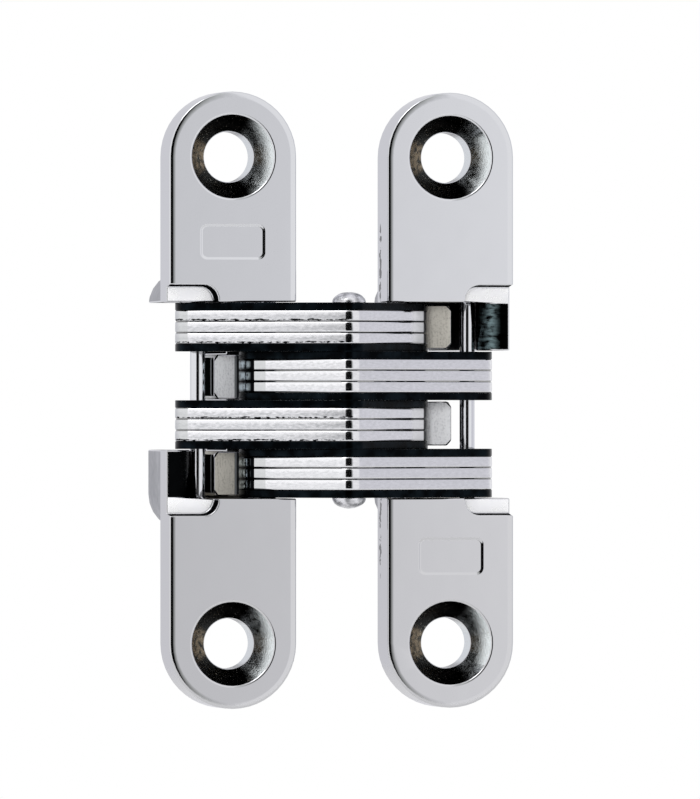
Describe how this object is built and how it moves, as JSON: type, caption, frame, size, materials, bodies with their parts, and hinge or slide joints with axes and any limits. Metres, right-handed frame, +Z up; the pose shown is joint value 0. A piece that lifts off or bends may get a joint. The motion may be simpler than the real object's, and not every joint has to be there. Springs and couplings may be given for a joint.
{
  "type": "invisible hinge",
  "caption": "Concealed door hinge: round-ended mortise leaves with countersunk screw holes, joined by crossed stacks of steel links that fold into pockets, opening half a turn.",
  "frame": {"origin": "the middle of the fully open hinge's box: midway between the leaves, midway along them, and 6.1 mm behind the plane of their faces", "axes": "+X from the left leaf to the right one, +Y into the depth behind the faces, +Z up along the leaves"},
  "size_m": [0.0346, 0.0218, 0.0604],
  "materials": {
    "leaf": "polished plated casting",
    "link_plate": "bright plated steel",
    "side_plate": "glossy blackened steel",
    "pin": "polished steel"
  },
  "bodies": {
    "left_leaf": {"left_leaf": "leaf", "left_fixed_pin": "pin"},
    "link_b": {"link_b_plate_1": "link_plate", "link_b_plate_2": "link_plate", "link_b_plate_3": "link_plate", "link_b_plate_4": "link_plate", "link_b_plate_5": "link_plate", "link_b_plate_6": "link_plate", "link_b_side_plate_1": "side_plate", "link_b_side_plate_2": "side_plate", "link_b_side_plate_3": "side_plate", "link_b_side_plate_4": "side_plate", "right_slide_pin": "pin", "centre_pin": "pin"},
    "link_a": {"link_a_plate_1": "link_plate", "link_a_plate_2": "link_plate", "link_a_plate_3": "link_plate", "link_a_plate_4": "link_plate", "link_a_plate_5": "link_plate", "link_a_plate_6": "link_plate", "link_a_side_plate_1": "side_plate", "link_a_side_plate_2": "side_plate", "link_a_side_plate_3": "side_plate", "link_a_side_plate_4": "side_plate", "left_slide_pin": "pin"},
    "right_leaf": {"right_leaf": "leaf", "right_fixed_pin": "pin"}
  },
  "joints": [
    {"name": "left_pivot", "type": "hinge", "parent": "left_leaf", "child": "link_b", "pos_m": [-0.00657, -0.0023, 0], "axis": [0, 0, -1], "range_deg": [0, 107.64]},
    {"name": "centre_pivot", "type": "hinge", "parent": "link_b", "child": "link_a", "pos_m": [0, -0.0091, 0], "axis": [0, 0, 1], "range_deg": [0, 35.29]},
    {"name": "right_pivot", "type": "hinge", "parent": "link_a", "child": "right_leaf", "pos_m": [0.00657, -0.0023, 0], "axis": [0, 0, -1], "range_deg": [0, 107.64]}
  ],
  "couplings": [
    {"joint": "centre_pivot", "follows": "left_pivot", "ratio": 0.3278},
    {"joint": "right_pivot", "follows": "left_pivot", "ratio": 1}
  ]
}
